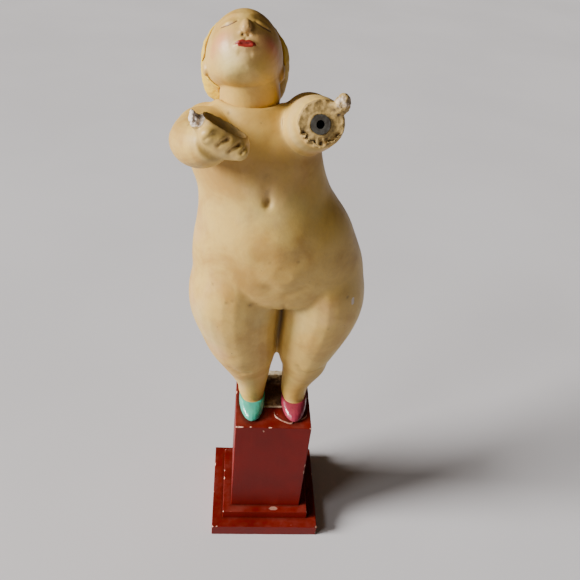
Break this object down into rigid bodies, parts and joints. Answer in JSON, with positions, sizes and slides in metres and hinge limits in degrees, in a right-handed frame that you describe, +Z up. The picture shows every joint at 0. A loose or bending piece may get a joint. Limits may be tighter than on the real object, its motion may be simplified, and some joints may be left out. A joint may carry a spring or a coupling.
{
  "type": "painted statuette on a stepped plinth",
  "caption": "Smooth full-bodied standing figure, arms held forward and head thrown back, in low-cut shoes, pegged to a tall red block on two wider slabs.",
  "frame": {"origin": "centre of the underside of the base slab, where the statuette stands", "axes": "+Z up, the figure faces -Y, +X is to the viewer's right"},
  "size_m": [0.1221, 0.0994, 0.3877],
  "materials": {
    "red_wood": "dark red satin paint, chipped at the corners",
    "flesh_paint": "aged cream eggshell paint over cast plaster",
    "bare_plaster": "unpainted, dirty plaster",
    "turquoise_enamel": "glossy enamel",
    "pink_enamel": "glossy enamel",
    "yellow_paint": "eggshell paint",
    "dowel_wood": "plain beech",
    "rod_steel": "plain",
    "screw_steel": "zinc plated",
    "sleeve_metal": "dull grey"
  },
  "bodies": {
    "root": {"base_slab": "red_wood", "middle_slab": "red_wood", "plinth_block": "red_wood", "plinth_screws": "screw_steel", "leg_rods": "rod_steel", "foot_bridge": "bare_plaster", "right_shoe": "turquoise_enamel", "left_shoe": "pink_enamel", "body": "flesh_paint", "right_arm": "flesh_paint", "right_arm_dowel": "dowel_wood", "left_arm": "flesh_paint", "left_arm_dowel": "dowel_wood", "wrist_sleeve": "sleeve_metal", "head": "flesh_paint", "neck_dowel": "dowel_wood", "hair": "yellow_paint"}
  },
  "joints": []
}
